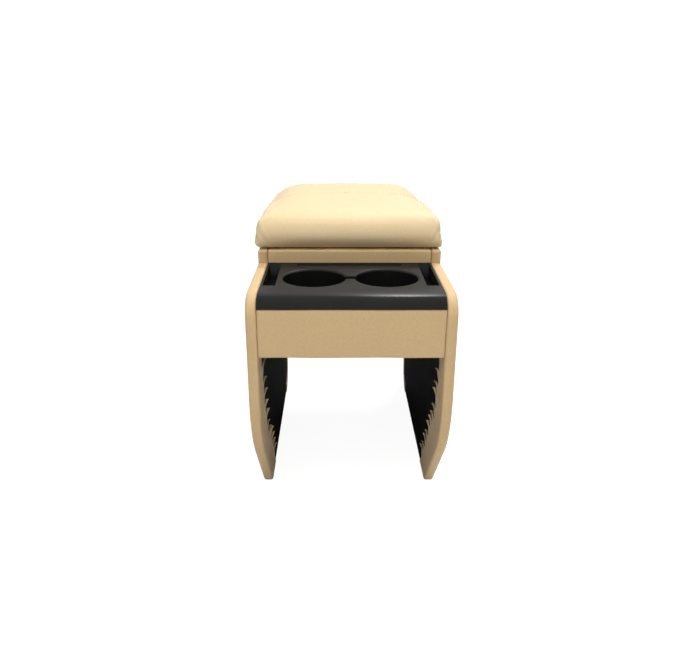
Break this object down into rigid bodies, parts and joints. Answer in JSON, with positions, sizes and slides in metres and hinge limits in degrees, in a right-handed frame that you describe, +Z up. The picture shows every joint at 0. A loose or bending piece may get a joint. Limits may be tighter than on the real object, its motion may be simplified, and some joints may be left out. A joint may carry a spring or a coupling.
{
  "type": "car centre armrest",
  "caption": "Leather-covered saddle armrest box for a car console, with a moulded twin cup tray in front and a padded lid hinged over a storage bin.",
  "frame": {"origin": "under the middle of the whole armrest, on the plane that the side panels stand on", "axes": "+X to the armrest's own right seen from its front, +Y from the cup tray to the hinge, +Z up"},
  "size_m": [0.215, 0.4013, 0.3294],
  "materials": {
    "leather": "fine-grained tan leatherette, satin",
    "black_board": "black laminated board, dull",
    "plain_board": "plain plywood",
    "black_plastic": "moulded plastic, satin, faintly grained",
    "felt": "short felt",
    "foam": "open-cell foam",
    "steel": "zinc-plated, dull"
  },
  "bodies": {
    "box": {"side_panel_left": "black_board", "side_panel_right": "black_board", "side_cover_left": "leather", "side_cover_right": "leather", "front_panel": "plain_board", "front_cover": "leather", "cross_wall": "plain_board", "cross_wall_cover": "leather", "rear_panel": "plain_board", "rear_cover": "leather", "box_floor": "black_board", "bin_lining": "felt", "cup_tray": "black_plastic", "box_nails": "steel", "hinge_box_leaf": "steel", "hinge_pin": "steel", "hinge_box_screws": "steel"},
    "lid": {"lid_board": "plain_board", "lid_foam": "foam", "lid_cover": "leather", "lid_lining": "felt", "hinge_lid_leaf": "steel", "hinge_lid_screws": "steel"}
  },
  "joints": [
    {"name": "lid_hinge", "type": "hinge", "parent": "box", "child": "lid", "pos_m": [0, 0.19815, 0.2879], "axis": [-1, 0, 0], "range_deg": [0, 100]}
  ]
}
